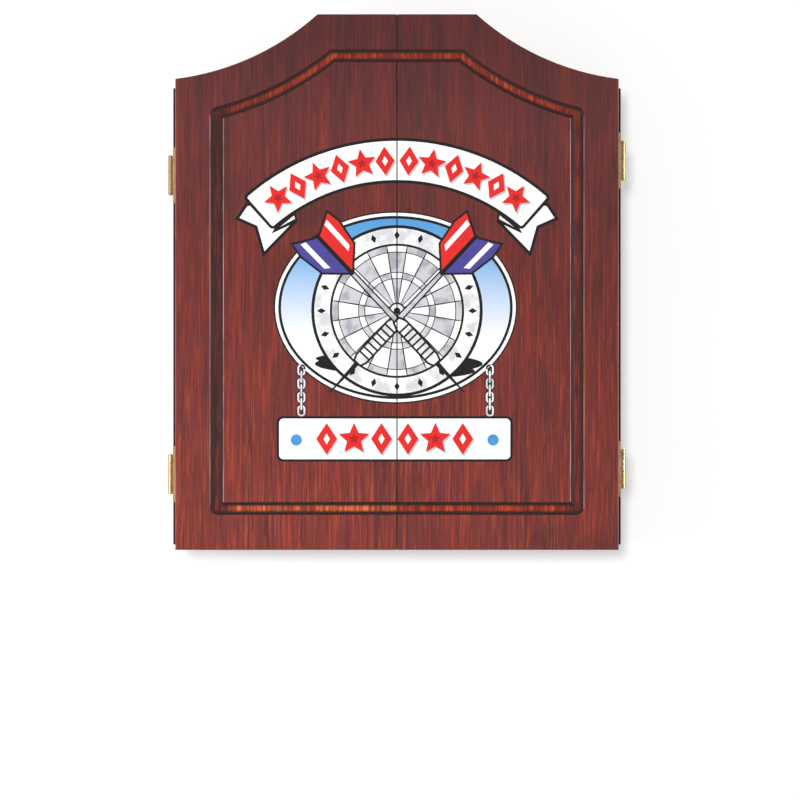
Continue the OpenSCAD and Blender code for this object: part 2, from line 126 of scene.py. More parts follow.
# The score boards' print: its layers in metres, its shapes in millimetres, and digits for a height of 1
SCORE_LAYER = 0.04 * MM
FRAME_NOTCH = 9.0
SCORE_LINE = 0.7
CHART_LINE = 0.6
COLUMN_LINE = 0.45
CHART_ROWS = 26
DIGIT_STROKE = 0.15
DIGIT_ADVANCE = 0.78

# The dart board: the cells' radii in millimetres, and the figures that stand on its ring
SECTORS = 20
STEPS_A_SECTOR = 6
BULL_R = 6.35
OUTER_BULL_R = 15.9
TRIPLE = (99.0, 107.0)
DOUBLE = (162.0, 170.0)
SCREW_HOLE_R = 2.65 * MM
SCREW_HOLE_DEEP = 9.1 * MM
CLOCKWISE = [20, 1, 18, 4, 13, 6, 10, 15, 2, 17, 3, 19, 7, 16, 8, 11, 14, 9, 12, 5]
NUMERAL_H = 24.0
NUMERAL_NARROWED = 0.92
NUMERAL_ADVANCE = 0.72
NUMERAL_WIRE_R = 0.6
NUMERAL_ORBIT = 208.6

# Stage and camera
FLOOR_Z = -0.62
WALL_Y = 2 * MM
STAGE_REACH = 2.2
STAGE_GLOW = 0.86
VIEW_X = 0.0034
VIEW_Z = -0.0949
VIEW_DISTANCE = 5.0
VIEW_WIDTH = 0.905


# ---- Materials ----

def srgb(red, green, blue):
    """A colour from 0 to 255 values as Blender's linear RGBA."""
    channels = [c / 255 for c in (red, green, blue)]
    linear = [c / 12.92 if c < 0.04045 else ((c + 0.055) / 1.055) ** 2.4 for c in channels]
    return (*linear, 1.0)


class Shade:
    """Builds one material. Most methods add a node and give back its output socket."""

    def __init__(self, name, grain="Z", wander=0.0):
        """grain is the axis that streaks run along, and wander how far they stray, in metres."""
        self.material = bpy.data.materials.new(name)
        self.material.use_nodes = True
        self.tree = self.material.node_tree
        self.tree.nodes.clear()
        self.grain = grain
        self.place = self.add("ShaderNodeTexCoord").outputs["Object"]
        self.strayed = self.place
        if wander:
            drift = self.noise(self.along(0.05, 0.22), detail=1.0)
            push = self.math("MULTIPLY_ADD", drift, wander, -wander / 2)
            sideways = {i: 0.0 if axis == grain else push for i, axis in enumerate("XYZ")}
            self.strayed = self.moved(self.add("ShaderNodeCombineXYZ", sideways).outputs[0])

    def add(self, kind, inputs=None, **settings):
        node = self.tree.nodes.new(kind)
        for name, value in settings.items():
            setattr(node, name, value)
        for key, value in (inputs or {}).items():
            if isinstance(value, bpy.types.NodeSocket):
                self.tree.links.new(value, node.inputs[key])
            else:
                node.inputs[key].default_value = value
        return node

    def math(self, operation, first, second=0.0, third=0.0):
        return self.add("ShaderNodeMath", {0: first, 1: second, 2: third}, operation=operation).outputs[0]

    def times(self, first, second):
        return self.math("MULTIPLY", first, second)

    def moved(self, push):
        return self.add("ShaderNodeVectorMath", {0: self.place, 1: push}, operation="ADD").outputs[0]

    def scaled(self, colour, factor):
        return self.add("ShaderNodeVectorMath", {0: colour, "Scale": factor}, operation="SCALE").outputs[0]

    def axes(self):
        """The place's X, Y and Z."""
        return self.add("ShaderNodeSeparateXYZ", {0: self.place}).outputs[:]

    def along(self, across, length):
        """Feature size of a streak that runs along the grain."""
        return tuple(length if axis == self.grain else across for axis in "XYZ")

    def sized(self, size, place):
        """A place scaled for features about size metres long: one number, or one each for X, Y and Z."""
        sizes = size if isinstance(size, tuple) else (size, size, size)
        inputs = {0: place or self.place, "Scale": tuple(1 / s for s in sizes)}
        return self.add("ShaderNodeMapping", inputs).outputs[0]

    def noise(self, size, place=None, detail=2.0, roughness=0.5, distortion=0.0):
        inputs = {"Vector": self.sized(size, place), "Scale": 1.0, "Detail": detail,
                  "Roughness": roughness, "Distortion": distortion}
        return self.add("ShaderNodeTexNoise", inputs).outputs["Fac"]

    def streaks(self, across, length, **settings):
        return self.noise(self.along(across, length), self.strayed, **settings)

    def blend(self, *layers):
        """One value made of streaks of several widths, each layer given as (across, length, weight)."""
        total = None
        for across, length, weight in layers:
            term = self.times(self.streaks(across, length), weight)
            total = term if total is None else self.math("ADD", total, term)
        return total

    def cells(self, size, feature="F1", place=None):
        inputs = {"Vector": self.sized(size, place), "Scale": 1.0}
        return self.add("ShaderNodeTexVoronoi", inputs, feature=feature).outputs["Distance"]

    def remap(self, value, low, high, to_low=0.0, to_high=1.0):
        inputs = {0: value, 1: low, 2: high, 3: to_low, 4: to_high}
        return self.add("ShaderNodeMapRange", inputs, interpolation_type="SMOOTHSTEP").outputs[0]

    def ramp(self, value, *stops):
        """A colour for each value, from stops given as (value, red, green, blue)."""
        node = self.add("ShaderNodeValToRGB", {0: value})
        ramp = node.color_ramp
        while len(ramp.elements) < len(stops):
            ramp.elements.new(1.0)
        for element, (position, *colour) in zip(ramp.elements, stops):
            element.position = position
            element.color = srgb(*colour)
        return node.outputs["Color"]

    def mix(self, share, first, second):
        node = self.add("ShaderNodeMix", {0: share, 6: first, 7: second}, data_type="RGBA")
        return node.outputs[2]

    def lay(self, colour, over, pattern, low, high, most=1.0):
        """Lays a second colour over the first, from none where the pattern is low to most where it's high."""
        return self.mix(self.remap(pattern, low, high, 0.0, most), colour, over)

    def bump(self, height, depth, strength):
        inputs = {"Height": height, "Distance": depth, "Strength": strength}
        return self.add("ShaderNodeBump", inputs).outputs["Normal"]

    def done(self, colour, roughness, normal, **values):
        inputs = {"Base Color": colour, "Roughness": roughness, "Normal": normal}
        inputs.update({name.replace("_", " "): value for name, value in values.items()})
        return self.output(self.add("ShaderNodeBsdfPrincipled", inputs).outputs[0])

    def output(self, shader):
        self.add("ShaderNodeOutputMaterial", {"Surface": shader})
        return self.material


def rubbed_lines(shade):
    """Share of pale lines, worn bare and painted as highlights: along the upright arrises of the groove and
    the doors' outer edges.
    """
    across, _, height = shade.axes()
    side = shade.math("ABSOLUTE", across)
    from_groove = shade.math("ABSOLUTE", shade.math("SUBTRACT", side, GROOVE_X))
    beside = shade.math("COMPARE", from_groove, (GROOVE_W + WORN_HIGHLIGHT_W) / 2, WORN_HIGHLIGHT_W / 2)
    middle, reach = (GROOVE_HIGH + GROOVE_LOW) / 2, (GROOVE_HIGH - GROOVE_LOW) / 2
    beside = shade.times(beside, shade.math("COMPARE", height, middle, reach))
    rim = shade.times(shade.math("GREATER_THAN", side, DOOR_OUT - WORN_HIGHLIGHT_W), 0.6)
    breakup = shade.remap(shade.noise(shade.along(0.01, 0.05), detail=3.0), 0.34, 0.58, 0.35, 0.9)
    return shade.times(breakup, shade.math("MAXIMUM", beside, rim))


def mahogany(name, grain="Z", gloss=0.36, worn_highlights=False):
    """Dark red stained wood under satin lacquer, with dark and orange streaks along the grain.

    It is darker and duller towards the top, and a little darker to the right, which is painted shade of light
    falling from the left.
    """
    shade = Shade(name, grain, 0.004)
    tone = shade.blend((0.022, 0.20, 0.25), (0.0065, 0.10, 0.24), (0.0023, 0.08, 0.28),
                       (0.0012, 0.045, 0.23))
    colour = shade.ramp(tone, (0.34, 76, 45, 42), (0.45, 106, 51, 48), (0.53, 127, 54, 49),
                        (0.64, 150, 64, 53))
    colour = shade.lay(colour, srgb(112, 54, 60), shade.streaks(0.006, 0.05), 0.48, 0.66, 0.5)
    across, _, height = shade.axes()
    low = shade.remap(height, DOOR_TOP * 0.85, DOOR_BOTTOM)
    flame = shade.streaks(0.0034, 0.06, detail=4.0, roughness=0.6)
    share = shade.math("MULTIPLY_ADD", low, 0.42, 0.18)
    colour = shade.lay(colour, srgb(182, 78, 47), flame, 0.50, 0.70, share)
    share = shade.math("MULTIPLY_ADD", low, 0.3, 0.2)
    colour = shade.lay(colour, srgb(186, 86, 55), shade.streaks(0.0013, 0.14), 0.57, 0.68, share)
    cloud = shade.noise(shade.along(0.03, 0.08), detail=3.0)
    colour = shade.lay(colour, srgb(84, 50, 47), cloud, 0.52, 0.68, 0.4)
    colour = shade.lay(colour, srgb(66, 36, 34), shade.streaks(0.0014, 0.045), 0.54, 0.70, 0.5)
    colour = shade.lay(colour, srgb(52, 32, 31), shade.streaks(0.0008, 0.012), 0.58, 0.72, 0.4)
    dim = shade.remap(height, DOOR_TOP * 0.75, DOOR_BOTTOM, 0.77, 1.05)
    dim = shade.times(dim, shade.remap(height, DOOR_TOP, DOOR_TOP * 0.55, 0.64, 1.0))
    # Painted shade: the right side darker, as if lit from the left
    dim = shade.times(dim, shade.remap(across, DOOR_OUT * 0.2, DOOR_OUT, 1.0, 0.9))
    colour = shade.lay(shade.scaled(colour, dim), srgb(110, 84, 90), height, 0.0, DOOR_TOP * 0.75, 0.12)
    if worn_highlights:
        # Pale pink lines: wear on the arrises, and painted highlights
        colour = shade.mix(rubbed_lines(shade), colour, srgb(200, 150, 148))
    rough = shade.remap(tone, 0.38, 0.6, gloss + 0.08, gloss - 0.04)
    return shade.done(colour, rough, shade.bump(tone, 0.00025, 0.5), Specular_IOR_Level=0.25)


def groove_wood():
    """The stained groove: dark at its steps, where stain gathers and shade is painted, and bright along the
    hollow, where the stain is worn thin and a lacquer sheen is painted.

    The hollow is orange low on the left door, red elsewhere, and dull where it runs up the sides.
    """
    shade = Shade("groove_wood", wander=0.004)
    across, depth, height = shade.axes()
    on_left = shade.math("LESS_THAN", across, 0.0)
    streak = shade.streaks(0.003, 0.04, detail=4.0, roughness=0.6)
    red = shade.ramp(streak, (0.40, 122, 44, 36), (0.52, 156, 54, 38), (0.64, 196, 84, 46))
    orange = shade.ramp(streak, (0.40, 158, 66, 42), (0.50, 196, 92, 54), (0.62, 222, 122, 74))
    fire = shade.mix(shade.times(shade.remap(height, 0.1, -0.1), on_left), red, orange)
    quiet = shade.ramp(streak, (0.40, 96, 40, 38), (0.62, 144, 54, 44))
    dusk = shade.ramp(streak, (0.48, 66, 40, 38), (0.60, 120, 46, 40))
    side = shade.math("ABSOLUTE", across)
    fire = shade.lay(fire, shade.mix(on_left, quiet, dusk), side, GROOVE_TURN_FROM, GROOVE_TURN_TO)
    fade = shade.remap(shade.noise(0.03, detail=4.0), 0.36, 0.56, 0.5, 1.0)
    share = shade.times(fade, shade.remap(height, DOOR_TOP, DOOR_BOTTOM, 0.8, 1.0))
    # Painted shade dark at the steps and painted sheen bright in the hollow, over stain gathered and worn
    # thin
    down = shade.math("SUBTRACT", depth, DOOR_FRONT)
    colour = shade.lay(srgb(58, 38, 36), fire, down, GROOVE_DARK_TO, GROOVE_BRIGHT_FROM, share)
    rough = shade.remap(streak, 0.40, 0.62, 0.54, 0.44)
    return shade.done(colour, rough, shade.bump(streak, 0.0002, 0.4), Specular_IOR_Level=0.15)


def cherry(name, grain="Z", dim=1.0, stain_and_shade_past=None):
    """Lighter orange-brown wood, with arched growth rings between straight grain.

    Past the last argument's distance out from the middle it turns dark: the stain run round onto it, and
    painted shade from the closed door's edge.
    """
    shade = Shade(name, grain, 0.012)
    swell = shade.streaks(0.085, 0.34, detail=1.0)
    rings = shade.math("POWER", shade.math("PINGPONG", shade.times(swell, 34.0), 1.0), 2.5)
    fine = shade.blend((0.03, 0.3, 0.4), (0.007, 0.16, 0.35), (0.0016, 0.05, 0.25))
    colour = shade.ramp(fine, (0.36, 126, 70, 44), (0.50, 149, 87, 55), (0.64, 170, 104, 68))
    colour = shade.mix(shade.times(rings, 0.34), colour, srgb(100, 48, 34))
    cloud = shade.noise(shade.along(0.06, 0.12), detail=3.0)
    colour = shade.lay(colour, srgb(150, 74, 60), cloud, 0.5, 0.7, 0.35)
    colour = shade.lay(colour, srgb(72, 40, 30), shade.streaks(0.0008, 0.009), 0.60, 0.74, 0.3)
    knots = shade.cells(shade.along(0.055, 0.1), place=shade.strayed)
    colour = shade.lay(colour, srgb(74, 38, 28), cloud, 0.48, 0.6, shade.remap(knots, 0.03, 0.07, 0.6, 0.0))
    colour = shade.scaled(colour, dim)
    if stain_and_shade_past is not None:
        side = shade.math("ABSOLUTE", shade.axes()[0])
        # Dark outer edge: stain run round the arris, and painted shade from the door's edge
        colour = shade.lay(colour, srgb(50, 26, 27), side, stain_and_shade_past, stain_and_shade_past + 1 * MM, 0.85)
    rough = shade.remap(fine, 0.4, 0.62, 0.42, 0.34)
    return shade.done(colour, rough, shade.bump(fine, 0.0002, 0.5), Specular_IOR_Level=0.3)


def mottled_panel():
    """The thin back panel, dark red-brown with cloudy figure."""
    shade = Shade("back_panel_wood")
    cloud = shade.noise((0.05, 0.05, 0.03), detail=5.0, roughness=0.6, distortion=0.6)
    fine = shade.streaks(0.0012, 0.03, detail=3.0)
    tone = shade.math("MULTIPLY_ADD", fine, 0.4, shade.times(cloud, 0.6))
    colour = shade.ramp(tone, (0.38, 58, 25, 20), (0.50, 86, 39, 29), (0.62, 112, 55, 39))
    return shade.done(colour, shade.remap(cloud, 0.4, 0.6, 0.56, 0.46), shade.bump(fine, 0.0002, 0.4))


def chipboard():
    """Pressed chips and glue, for the board's backing disc."""
    shade = Shade("backing_chipboard")
    chips = shade.cells((0.006, 0.006, 0.003))
    tone = shade.math("MULTIPLY_ADD", shade.noise(0.0015, detail=4.0), 0.5, shade.times(chips, 0.5))
    colour = shade.ramp(tone, (0.3, 104, 76, 50), (0.5, 150, 116, 80), (0.7, 182, 150, 110))
    return shade.done(colour, shade.remap(tone, 0.35, 0.65, 0.92, 0.8), shade.bump(tone, 0.0005, 0.6))


def metal(name, dark, light, rough, metallic=1.0):
    """Plated or drawn metal with faint tarnish and fine scratches."""
    shade = Shade(name)
    cloud = shade.noise(0.006, detail=4.0, roughness=0.6)
    colour = shade.lay(srgb(*dark), srgb(*light), cloud, 0.36, 0.56)
    spread = shade.remap(cloud, 0.35, 0.65, rough + 0.06, rough - 0.03)
    scratch = shade.noise(0.0012, detail=3.0)
    return shade.done(colour, spread, shade.bump(scratch, 0.00001, 0.5), Metallic=metallic)


def rubber():
    shade = Shade("bumper_rubber")
    dust = shade.noise(0.004, detail=5.0)
    colour = shade.lay(srgb(30, 30, 31), srgb(58, 56, 54), dust, 0.5, 0.7)
    grit = shade.bump(shade.noise(0.0006), 0.0001, 0.6)
    return shade.done(colour, shade.remap(dust, 0.4, 0.7, 0.6, 0.85), grit)


def chalkboard(name, colour, worn):
    """Painted score board with the haze that wiped chalk leaves."""
    shade = Shade(name)
    wipe = shade.noise((0.05, 0.05, 0.018), detail=5.0, roughness=0.6, distortion=1.2)
    grit = shade.noise(0.0009)
    painted = shade.lay(srgb(*colour), srgb(*worn), wipe, 0.42, 0.72, 0.55)
    painted = shade.scaled(painted, shade.remap(grit, 0.35, 0.65, 0.94, 1.06))
    return shade.done(painted, shade.remap(wipe, 0.4, 0.7, 0.6, 0.78), shade.bump(grit, 0.0001, 0.5))


def bristle(name, colour, crack=0.0):
    """Packed sisal ends: a fine grain of tufts, with hair cracks where crack is over 0."""
    shade = Shade(name)
    tufts = shade.cells(0.0011)
    cloud = shade.noise(0.02, detail=4.0)
    tone = shade.times(shade.remap(tufts, 0.1, 0.75, 1.05, 0.86), shade.remap(cloud, 0.35, 0.65, 0.96, 1.04))
    lit = shade.scaled(srgb(*colour)[:3], tone)
    if crack:
        push = shade.math("MULTIPLY_ADD", shade.noise(0.009, detail=3.0), 0.02, -0.01)
        edge = shade.cells((0.032, 1.0, 0.032), "DISTANCE_TO_EDGE", shade.moved(push))
        lit = shade.lay(lit, srgb(104, 76, 54), cloud, 0.46, 0.56, shade.remap(edge, 0.0, 0.022, crack, 0.0))
    rough = shade.remap(tufts, 0.1, 0.75, 0.86, 0.95)
    return shade.done(lit, rough, shade.bump(tufts, 0.0002, 0.6), Specular_IOR_Level=0.2)


def printed(shade, colour):
    """Finishes a material as screen-printed ink: a thin film over the grain, a little uneven."""
    film = shade.streaks(0.0016, 0.03)
    return shade.done(colour, shade.remap(film, 0.35, 0.65, 0.38, 0.46), shade.bump(film, 0.0001, 0.3))


def ink(name, colour, wash=None):
    """One ink, in clouds of a little darker or, if it is given, of the wash colour."""
    shade = Shade(name)
    cloud = shade.noise(0.015, detail=3.0)
    if wash:
        return printed(shade, shade.lay(srgb(*colour), srgb(*wash), cloud, 0.46, 0.66))
    return printed(shade, shade.scaled(srgb(*colour)[:3], shade.remap(cloud, 0.4, 0.66, 1.0, 0.93)))


def sky_ink():
    """Blue at the top of the emblem's oval that fades down to white."""
    shade = Shade("ink_sky")
    grain = shade.math("MULTIPLY_ADD", shade.noise(0.002), 0.03, -0.015)
    top = (OVAL_CENTRE[1] + OVAL_UP) * MM
    down = shade.math("SUBTRACT", top, shade.axes()[2])
    level = shade.math("ADD", shade.math("DIVIDE", down, top - SKY_WHITE_FROM), grain)
    stops = [(0.0, 70, 150, 212), (0.35, 120, 175, 225), (0.70, 204, 220, 242), (1.0, 250, 251, 252)]
    return printed(shade, shade.ramp(level, *stops))


# ---- Painting and easing the CAD nodes ----

def paint(name, *materials):
    """Gives a CAD node its materials."""
    slots = NODES[name].data.materials
    slots.clear()
    for material in materials:
        slots.append(material)


def paint_door(name, front, groove, edge, inside):
    """Gives a door's faces their wood: front, groove, edges and the side with the score board."""
    paint(name, front, groove, edge, inside)
    for polygon in NODES[name].data.polygons:
        facing, depth = polygon.normal.y, polygon.center.y
        in_front = facing < -0.99 and depth < DOOR_FRONT + 0.01 * MM
        in_groove = depth < DOOR_FRONT + 3 * MM and abs(polygon.center.x) > SEAM + 0.5 * MM
        behind = facing > 0.99 and depth > DOOR_BACK - 0.01 * MM
        polygon.material_index = 0 if in_front else 1 if in_groove else 3 if behind else 2


def paint_box_board(name, outside, edge, inside):
    """Gives a box board stained wood outside and lighter wood on its front edge and inner face."""
    paint(name, outside, edge, inside)
    low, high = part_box(name)
    flat = "x" if high.x - low.x < high.z - low.z else "z"
    outward = math.copysign(1, getattr(low + high, flat))
    for polygon in NODES[name].data.polygons:
        inward = getattr(polygon.normal, flat) * outward < -0.5
        polygon.material_index = 2 if inward else int(polygon.normal.y < -0.5)


def ease_edges(name, width):
    """Rounds a board's long sharp edges a little, and leaves its screw holes alone."""
    node = NODES[name]
    mesh = node.data

    def place(edge_key):
        return frozenset(tuple(round(c, 6) for c in mesh.vertices[i].co) for i in edge_key)

    normals = {}
    for polygon in mesh.polygons:
        for key in polygon.edge_keys:
            normals.setdefault(place(key), []).append(polygon.normal.copy())
    weights = mesh.attributes.new("bevel_weight_edge", "FLOAT", "EDGE")
    for edge in mesh.edges:
        a, b = (mesh.vertices[i].co for i in edge.vertices)
        beside = normals[place(edge.key)]
        sharp = len(beside) == 2 and beside[0].angle(beside[1]) > math.radians(60)
        weights.data[edge.index].value = float(sharp and (a - b).length > SHORTEST_ROUNDED)
    weld = node.modifiers.new("weld", "WELD")
    weld.merge_threshold = 0.001 * MM
    bevel = node.modifiers.new("ease", "BEVEL")
    bevel.limit_method = "WEIGHT"
    bevel.width = width
    bevel.segments = 2
    bevel.use_clamp_overlap = False
    bevel.harden_normals = True


def finish_nodes(ring, soft_black):
    """Paints every CAD node, and rounds the boards' edges. A node takes the finish its name ends with."""
    front = mahogany("door_front_wood", worn_highlights=True)
    groove = groove_wood()
    edge = mahogany("door_edge_wood", gloss=0.4)
    # The right door's inner wood is dimmer: painted shade, as if the light came from the left
    for name, dim in (("left_door", 0.92), ("right_door", 0.83)):
        paint_door(name, front, groove, edge, cherry(name + "_inner_wood", dim=dim))
        ease_edges(name, BOARD_ROUND)
    for part, grain, lip_dim, stain_and_shade_past, names in (
        ("box_side", "Z", 0.47, DOOR_OUT - STAIN_AND_SHADE_RUN, ("left_side", "right_side")),
        ("box_end", "X", 0.42, None, ("top_board", "bottom_board")),
    ):
        outside = mahogany(part + "_wood", grain, gloss=0.4)
        lip = cherry(part + "_lip_wood", grain, lip_dim, stain_and_shade_past)
        lining = cherry(part + "_inner_wood", grain, 0.8)
        for name in names:
            paint_box_board(name, outside, lip, lining)
            ease_edges(name, BOARD_ROUND)
    for name in ("left_score_board", "right_score_board"):
        ease_edges(name, SCORE_ROUND)
    finishes = [
        (metal("hinge_brass", (226, 184, 124), (240, 206, 152), 0.28, 0.74), "hinge_pin", "leaf"),
        (metal("screw_brass", (136, 108, 66), (196, 162, 104), 0.3, 0.7),
         "score_board_screws", "hinge_screws"),
        (metal("nail_steel", (70, 62, 56), (112, 104, 96), 0.45), "corner_nails", "back_tacks"),
        (metal("zinc_plate", (150, 154, 156), (190, 192, 190), 0.36),
         "hanging_bracket", "bracket_screws", "hanging_screw"),
        (metal("spider_wire", (150, 152, 154), (184, 186, 188), 0.3, 0.8), "wires", "bull_rings"),
        (metal("band_black", (24, 24, 26), (40, 40, 42), 0.4, 0.3), "board_band", "bristle_disc"),
        (ring, "number_ring", "number_ring_clips"),
        (soft_black, "rubber_bumpers"),
        (chipboard(), "board_backing"),
        (mottled_panel(), "back_panel"),
        (chalkboard("score_green", (46, 87, 78), (62, 103, 93)), "left_score_board"),
        (chalkboard("chart_green", (40, 82, 74), (58, 99, 90)), "right_score_board"),
    ]
    for name in NODES:
        for material, *endings in finishes:
            if name.endswith(tuple(endings)):
                paint(name, material)


# ---- Making pieces ----

def add_object(name, data):
    """An object put in the scene."""
    made = bpy.data.objects.new(name, data)
    bpy.context.scene.collection.objects.link(made)
    return made


def new_piece(name, built, *materials):
    """An object in the scene from a bmesh, which it frees."""
    mesh = bpy.data.meshes.new(name)
    built.to_mesh(mesh)
    built.free()
    for material in materials:
        mesh.materials.append(material)
    return add_object(name, mesh)


def seam_strip(material):
    """A dark rubber strip on the left door's closing edge, put there as painted shade so that the seam shows
    dark.
    """
    low = Vector((-SEAM, DOOR_FRONT + STRIP_SET_BACK, DOOR_BOTTOM + STRIP_SET_BACK / 4))
    high = Vector((SEAM - STRIP_CLEARANCE, DOOR_BACK - STRIP_SET_BACK, DOOR_TOP - STRIP_SET_BACK / 4))
    built = bmesh.new()
    bmesh.ops.create_cube(built, size=1.0)
    bmesh.ops.scale(built, verts=built.verts, vec=high - low)
    bmesh.ops.translate(built, verts=built.verts, vec=(low + high) / 2)
    bmesh.ops.bevel(built, geom=built.edges, offset=STRIP_ROUND, segments=3, profile=0.5, affect="EDGES")
    strip = new_piece("seam_strip", built, material)
    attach(strip, "left_door")


# ---- Flat shapes, as lists of (x, z) in millimetres ----

def arc(centre, radius, start, end, steps):
    """Points from start to end degrees, counted anticlockwise from +X."""
    angles = [math.radians(start + (end - start) * i / steps) for i in range(steps + 1)]
    return [(centre[0] + radius * math.cos(a), centre[1] + radius * math.sin(a)) for a in angles]


def ellipse(centre, across, up, steps=120):
    angles = [2 * math.pi * i / steps for i in range(steps)]
    return [(centre[0] + across * math.cos(a), centre[1] + up * math.sin(a)) for a in angles]


def disc(centre, radius, steps=72):
    return ellipse(centre, radius, radius, steps)


def box_shape(centre, width, height, radius=0.0):
    """A rectangle, rounded if a radius is given."""
    x, z = width / 2 - radius, height / 2 - radius
    corners = [(-x, -z, 180), (x, -z, 270), (x, z, 0), (-x, z, 90)]
    placed = [((centre[0] + right, centre[1] + up), start) for right, up, start in corners]
    if not radius:
        return [corner for corner, _ in placed]
    return [point for corner, start in placed for point in arc(corner, radius, start, start + 90, 6)]


def mitre(behind, ahead, sharpest=0.0):
    """The step to the left of a corner between two directions that keeps both sides 1 away."""
    left_behind, left_ahead = Vector((-behind.y, behind.x)), Vector((-ahead.y, ahead.x))
    return (left_ahead + left_behind) / max(1 + left_ahead.dot(left_behind), sharpest)


def directions(points):
    """The direction from each point to the next."""
    return [(Vector(b) - Vector(a)).normalized() for a, b in zip(points, points[1:])]


def inset(points, distance):
    """The polygon, given anticlockwise, with every side moved in by distance."""
    ahead = directions([*points, points[0]])
    behind = [ahead[-1], *ahead]
    return [tuple(Vector(p) + mitre(b, a) * distance) for p, b, a in zip(points, behind, ahead)]


def stroke_outline(points, width):
    """A closed outline round an open line of points."""
    steps = directions(points)
    left, right = [], []
    for point, behind, ahead in zip(points, [steps[0], *steps], [*steps, steps[-1]]):
        aside = mitre(behind, ahead, 0.35) * width / 2
        left.append(tuple(Vector(point) + aside))
        right.append(tuple(Vector(point) - aside))
    return right + left[::-1]


def turned(points, degrees, centre=(0.0, 0.0)):
    """The points turned anticlockwise about the origin and then moved to centre."""
    c, s = math.cos(math.radians(degrees)), math.sin(math.radians(degrees))
    return [(centre[0] + x * c - z * s, centre[1] + x * s + z * c) for x, z in points]


def mirrored(points):
    """The shape's mirror image in X, still anticlockwise."""
    return [(-x, z) for x, z in reversed(points)]


def star(radius):
    """A five-pointed star with one point up."""
    reach = [radius, radius * 0.46]
    angles = [math.radians(90 + 36 * i) for i in range(10)]
    return [(reach[i % 2] * math.cos(a), reach[i % 2] * math.sin(a)) for i, a in enumerate(angles)]


def diamond(width, height):
    return [(-width / 2, 0.0), (0.0, -height / 2), (width / 2, 0.0), (0.0, height / 2)]


# ---- Printing ----

class Print:
    """Flat printed shapes in layers, each a hair in front of the one below."""

    def __init__(self, step, inks):
        self.step = step
        self.inks = inks
        self.regions = []

    def add(self, layer, colour, outline, *holes):
        self.regions.append((layer, list(self.inks).index(colour), [outline, *holes]))

    def outlined(self, layer, border, fill, outline, width):
        """A shape with a border: the border's ink below, and the fill on top."""
        self.add(layer, border, outline)
        self.add(layer + 1, fill, inset(outline, width))

    def ring(self, layer, colour, outline, width):
        self.add(layer, colour, outline, inset(outline, width))

    def line(self, layer, colour, start, end, width):
        self.add(layer, colour, stroke_outline([start, end], width))

    def build(self, name, plane, facing, middle, body, slot, side=0):
        """One piece from all the shapes, drawn as they are seen from in front of it.

        plane is the y they lie on, facing is -1 or 1 along Y, middle is where their origin comes, and
        side keeps only one door's half.
        """
        whole = bmesh.new()
        for layer, index, loops in self.regions:
            flat = flat_region(loops, middle, facing, side)
            if flat.faces:
                thicken(flat, plane, plane + facing * layer * self.step)
                for face in flat.faces:
                    face.material_index = index
                store = bpy.data.meshes.new("layer")
                flat.to_mesh(store)
                whole.from_mesh(store)
                bpy.data.meshes.remove(store)
            flat.free()
        piece = new_piece(name, whole, *self.inks.values())
        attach(piece, body)


def flat_region(loops, middle, facing, side):
    """The triangles of a shape with holes, in the plane Y = 0.

    If side is set, they are cut off a little short of that door's closing edge.
    """
    rows = []
    for loop in loops:
        rows.append([Vector((middle.x - facing * x * MM, 0.0, middle.z + z * MM)) for x, z in loop])
    flat = bmesh.new()
    corners = [flat.verts.new(point) for row in rows for point in row]
    for triangle in tessellate_polygon(rows):
        flat.faces.new([corners[i] for i in triangle])
    if side:
        geometry = flat.verts[:] + flat.edges[:] + flat.faces[:]
        cut = Vector((side * (SEAM + PRINT_SHORT), 0.0, 0.0))
        away = Vector((-side, 0.0, 0.0))
        bmesh.ops.bisect_plane(flat, geom=geometry, plane_co=cut, plane_no=away, clear_outer=True)
    loose = [v for v in flat.verts if not v.link_faces]
    bmesh.ops.delete(flat, geom=loose, context="VERTS")
    return flat


def thicken(flat, back, front):
    """Turns flat faces into a closed plate from y = back to y = front."""
    for corner in flat.verts:
        corner.co.y = back
    raised = bmesh.ops.extrude_face_region(flat, geom=flat.faces[:])["geom"]
    for corner in raised:
        if isinstance(corner, bmesh.types.BMVert):
            corner.co.y = front
    bmesh.ops.recalc_face_normals(flat, faces=flat.faces)


# ---- The emblem on the doors ----

def ribbon_shape(grow=0.0):
    """The curved band, grown outwards by grow, with rounded ends."""
    outer, inner = RIBBON_OUTER + grow, RIBBON_INNER - grow
    corner = RIBBON_CORNER + grow
    outer_slip, inner_slip = math.degrees(corner / outer), math.degrees(corner / inner)
    left = 90 + RIBBON_HALF_ANGLE + math.degrees(grow / ORNAMENT_ORBIT)
    right = 180 - left
    a = math.radians(left)
    left_end = []
    for radius, start in ((outer - corner, left), (inner + corner, left + 90)):
        x = RIBBON_CENTRE[0] + radius * math.cos(a) + corner * math.sin(a)
        z = RIBBON_CENTRE[1] + radius * math.sin(a) - corner * math.cos(a)
        left_end += arc((x, z), corner, start, start + 90, 6)
    top = arc(RIBBON_CENTRE, outer, right + outer_slip, left - outer_slip, 72)
    bottom = arc(RIBBON_CENTRE, inner, left - inner_slip, right + inner_slip, 72)
    return top + left_end + bottom + mirrored(left_end)


def add_ornament(sheet, i, centre, turn, size):
    """A red diamond, or a star a little larger if i is odd, with its soft grey shadow."""
    shape, middle = diamond(size * 0.66, size), diamond(size * 0.2, size * 0.34)
    if i % 2:
        shape, middle = star(size / 2 + 0.5), star((size + 1) * 0.17)
    sheet.add(7, "shadow", turned(shape, turn, (centre[0] + 1.5, centre[1] - 1.8)))
    sheet.add(8, "red", turned(shape, turn, centre))
    sheet.add(9, "dark_red" if i % 2 else "white", turned(middle, turn, centre))


